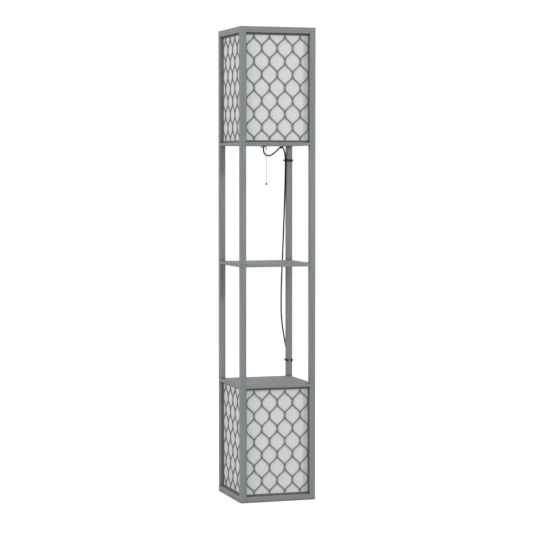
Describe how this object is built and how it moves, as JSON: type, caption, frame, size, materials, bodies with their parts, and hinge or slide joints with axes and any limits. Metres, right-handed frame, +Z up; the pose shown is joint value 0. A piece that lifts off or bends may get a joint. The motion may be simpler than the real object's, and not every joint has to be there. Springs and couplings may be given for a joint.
{
  "type": "shelf floor lamp",
  "caption": "Square tower floor lamp: a lantern box with ogee lattice panels over pale liners at the top and another at the foot, two open shelf tiers between, pull chain and cord",
  "frame": {"origin": "middle of the square footprint, on the floor", "axes": "+Z up; the front faces -Y, so -Y is the side nearest the camera; +X to the right"},
  "size_m": [0.2628, 0.3635, 1.575],
  "materials": {
    "frame_paint": "painted satin",
    "lattice_paint": "painted satin",
    "liner": "translucent matte",
    "steel": "zinc plated",
    "brass": "plain",
    "holder_plastic": "moulded",
    "bulb_glass": "frosted",
    "chain_metal": "nickel",
    "knob_plastic": "gloss",
    "bracket_paint": "black",
    "black_plastic": "moulded",
    "cord_jacket": "satin"
  },
  "bodies": {
    "frame": {"lower_box_post_front_left": "frame_paint", "lower_box_post_front_right": "frame_paint", "lower_box_post_back_right": "frame_paint", "lower_box_post_back_left": "frame_paint", "lower_tier_post_front_left": "frame_paint", "lower_tier_post_front_right": "frame_paint", "lower_tier_post_back_right": "frame_paint", "lower_tier_post_back_left": "frame_paint", "upper_tier_post_front_left": "frame_paint", "upper_tier_post_front_right": "frame_paint", "upper_tier_post_back_right": "frame_paint", "upper_tier_post_back_left": "frame_paint", "upper_box_post_front_left": "frame_paint", "upper_box_post_front_right": "frame_paint", "upper_box_post_back_right": "frame_paint", "upper_box_post_back_left": "frame_paint", "top_rail_front": "frame_paint", "top_rail_right": "frame_paint", "top_rail_back": "frame_paint", "top_rail_left": "frame_paint", "bottom_rail_front": "frame_paint", "bottom_rail_right": "frame_paint", "bottom_rail_back": "frame_paint", "bottom_rail_left": "frame_paint", "upper_board": "frame_paint", "middle_shelf": "frame_paint", "lower_board": "frame_paint", "base_board": "frame_paint", "lower_lattice_front": "lattice_paint", "lower_lattice_right": "lattice_paint", "lower_lattice_back": "lattice_paint", "lower_lattice_left": "lattice_paint", "upper_lattice_front": "lattice_paint", "upper_lattice_right": "lattice_paint", "upper_lattice_back": "lattice_paint", "upper_lattice_left": "lattice_paint", "panel_liners": "liner", "joining_studs": "steel", "threaded_inserts": "brass", "upper_lamp_holder": "holder_plastic", "lower_lamp_holder": "holder_plastic", "screw_shells": "brass", "centre_contacts": "brass", "nipples": "steel", "nipple_nuts": "steel", "cord_bushes": "black_plastic", "upper_bulb": "bulb_glass", "lower_bulb": "bulb_glass", "pull_switch": "holder_plastic", "cord_bracket": "bracket_paint", "post_clips": "black_plastic", "board_cord_clip": "black_plastic", "cord_run": "cord_jacket", "cord_coil": "cord_jacket", "cord_tie": "black_plastic", "plug": "black_plastic"},
    "pull_link": {"pull_link": "chain_metal"},
    "chain": {"pull_chain": "chain_metal", "chain_knob": "knob_plastic"}
  },
  "joints": [
    {"name": "chain_pull", "type": "slide", "parent": "frame", "child": "pull_link", "axis": [0, 0, -1], "range_m": [0, 0.008], "stiffness_N_per_m": 400},
    {"name": "chain_swing", "type": "hinge", "parent": "pull_link", "child": "chain", "pos_m": [-0.0013, -0.00406, 1.17185], "axis": [1, 0, 0], "range_deg": [-15, 15]}
  ]
}
